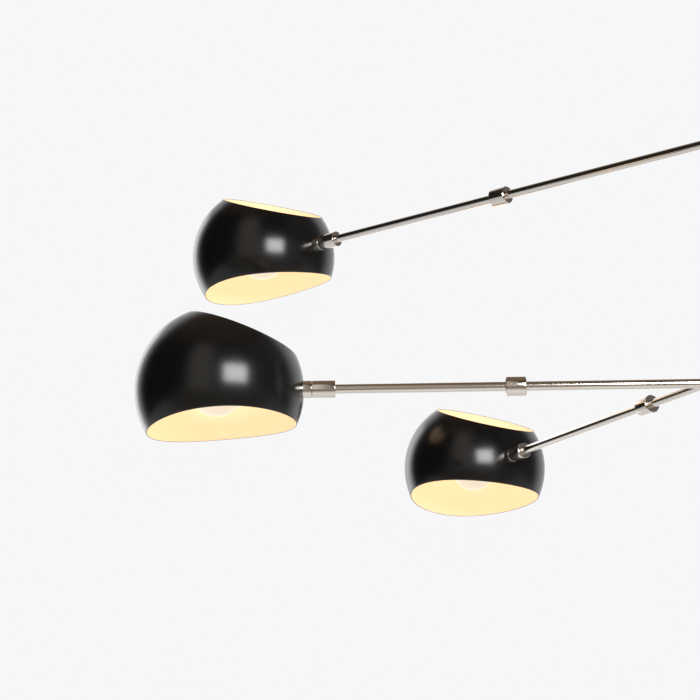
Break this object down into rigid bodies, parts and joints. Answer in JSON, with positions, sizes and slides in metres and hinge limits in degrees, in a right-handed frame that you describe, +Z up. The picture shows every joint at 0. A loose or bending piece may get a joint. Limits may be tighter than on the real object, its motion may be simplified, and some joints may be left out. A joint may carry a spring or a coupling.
{
  "type": "tension pole lamp",
  "caption": "Spring-loaded floor-to-ceiling pole lamp with three swinging arms, each with a black ball shade that rolls about its arm.",
  "frame": {"origin": "centre of the floor pad's underside, on the pole's axis", "axes": "+Z up along the pole; the picture looks along +Y, and its arms leave the pole towards -X and +Y"},
  "size_m": [0.7033, 0.6988, 2.458],
  "materials": {
    "nickel": "polished nickel plate",
    "black_enamel": "satin black baked enamel outside, cream white enamel inside",
    "rubber": "matte moulded rubber",
    "spring_steel": "drawn spring wire",
    "steel": "zinc plated steel",
    "phenolic": "black moulded phenolic",
    "brass": "plain brass",
    "bulb_glass": "soft white glass, lit",
    "bulb_cap": "bare rolled aluminium",
    "plastic": "black nylon"
  },
  "bodies": {
    "pole": {"floor_pad": "rubber", "foot_cup": "black_enamel", "foot_spigot": "steel", "lower_tube": "nickel", "upper_tube": "nickel", "pole_coupler": "steel", "stop_collars": "nickel", "collar_screws": "steel", "plunger_guide": "nickel", "spring_seat": "steel", "tension_spring": "spring_steel", "switch_housing": "black_enamel", "cord_bushing": "plastic"},
    "plunger": {"plunger_rod": "nickel", "ceiling_cup": "black_enamel", "ceiling_pad": "rubber"},
    "knob": {"switch_knob": "phenolic"},
    "arm_mid": {"hub_mid": "nickel", "friction_screw_mid": "steel", "inner_rod_mid": "nickel", "arm_collar_mid": "nickel", "outer_rod_mid": "nickel", "barrel_mid": "nickel", "stud_mid": "steel", "lock_nut_mid": "steel", "socket_mid": "phenolic", "screw_shell_mid": "brass", "bulb_cap_mid": "bulb_cap", "bulb_glass_mid": "bulb_glass"},
    "shade_mid": {"swivel_ring_mid": "nickel", "shade_mid": "black_enamel"},
    "arm_low": {"hub_low": "nickel", "friction_screw_low": "steel", "inner_rod_low": "nickel", "arm_collar_low": "nickel", "outer_rod_low": "nickel", "barrel_low": "nickel", "stud_low": "steel", "lock_nut_low": "steel", "socket_low": "phenolic", "screw_shell_low": "brass", "bulb_cap_low": "bulb_cap", "bulb_glass_low": "bulb_glass"},
    "shade_low": {"swivel_ring_low": "nickel", "shade_low": "black_enamel"},
    "arm_top": {"hub_top": "nickel", "friction_screw_top": "steel", "inner_rod_top": "nickel", "arm_collar_top": "nickel", "outer_rod_top": "nickel", "barrel_top": "nickel", "stud_top": "steel", "lock_nut_top": "steel", "socket_top": "phenolic", "screw_shell_top": "brass", "bulb_cap_top": "bulb_cap", "bulb_glass_top": "bulb_glass"},
    "shade_top": {"swivel_ring_top": "nickel", "shade_top": "black_enamel"}
  },
  "joints": [
    {"name": "plunger_slide", "type": "slide", "parent": "pole", "child": "plunger", "axis": [0, 0, 1], "range_m": [-0.045, 0], "stiffness_N_per_m": 1500, "springref_m": 0.02, "deforming": ["tension_spring"]},
    {"name": "switch_turn", "type": "hinge", "parent": "pole", "child": "knob", "pos_m": [0, 0, 1.052], "axis": [0, -1, 0], "range_deg": [0, 270]},
    {"name": "swing_mid", "type": "hinge", "parent": "pole", "child": "arm_mid", "pos_m": [0, 0, 1.56], "axis": [0, 0, 1], "range_deg": [-30, 120]},
    {"name": "roll_mid", "type": "hinge", "parent": "arm_mid", "child": "shade_mid", "pos_m": [-0.5743, 0.03714, 1.56], "axis": [0.9979, -0.0645, 0], "range_deg": [-165, 165]},
    {"name": "swing_low", "type": "hinge", "parent": "pole", "child": "arm_low", "pos_m": [0, 0, 1.592], "axis": [0, 0, 1], "range_deg": [-130, 20]},
    {"name": "roll_low", "type": "hinge", "parent": "arm_low", "child": "shade_low", "pos_m": [-0.29216, 0.56605, 1.592], "axis": [0.4586, -0.8886, 0], "range_deg": [-165, 165]},
    {"name": "swing_top", "type": "hinge", "parent": "pole", "child": "arm_top", "pos_m": [0, 0, 1.831], "axis": [0, 0, 1], "range_deg": [-75, 75]},
    {"name": "roll_top", "type": "hinge", "parent": "arm_top", "child": "shade_top", "pos_m": [-0.547, 0.47216, 1.831], "axis": [0.757, -0.6534, 0], "range_deg": [-165, 165]}
  ]
}
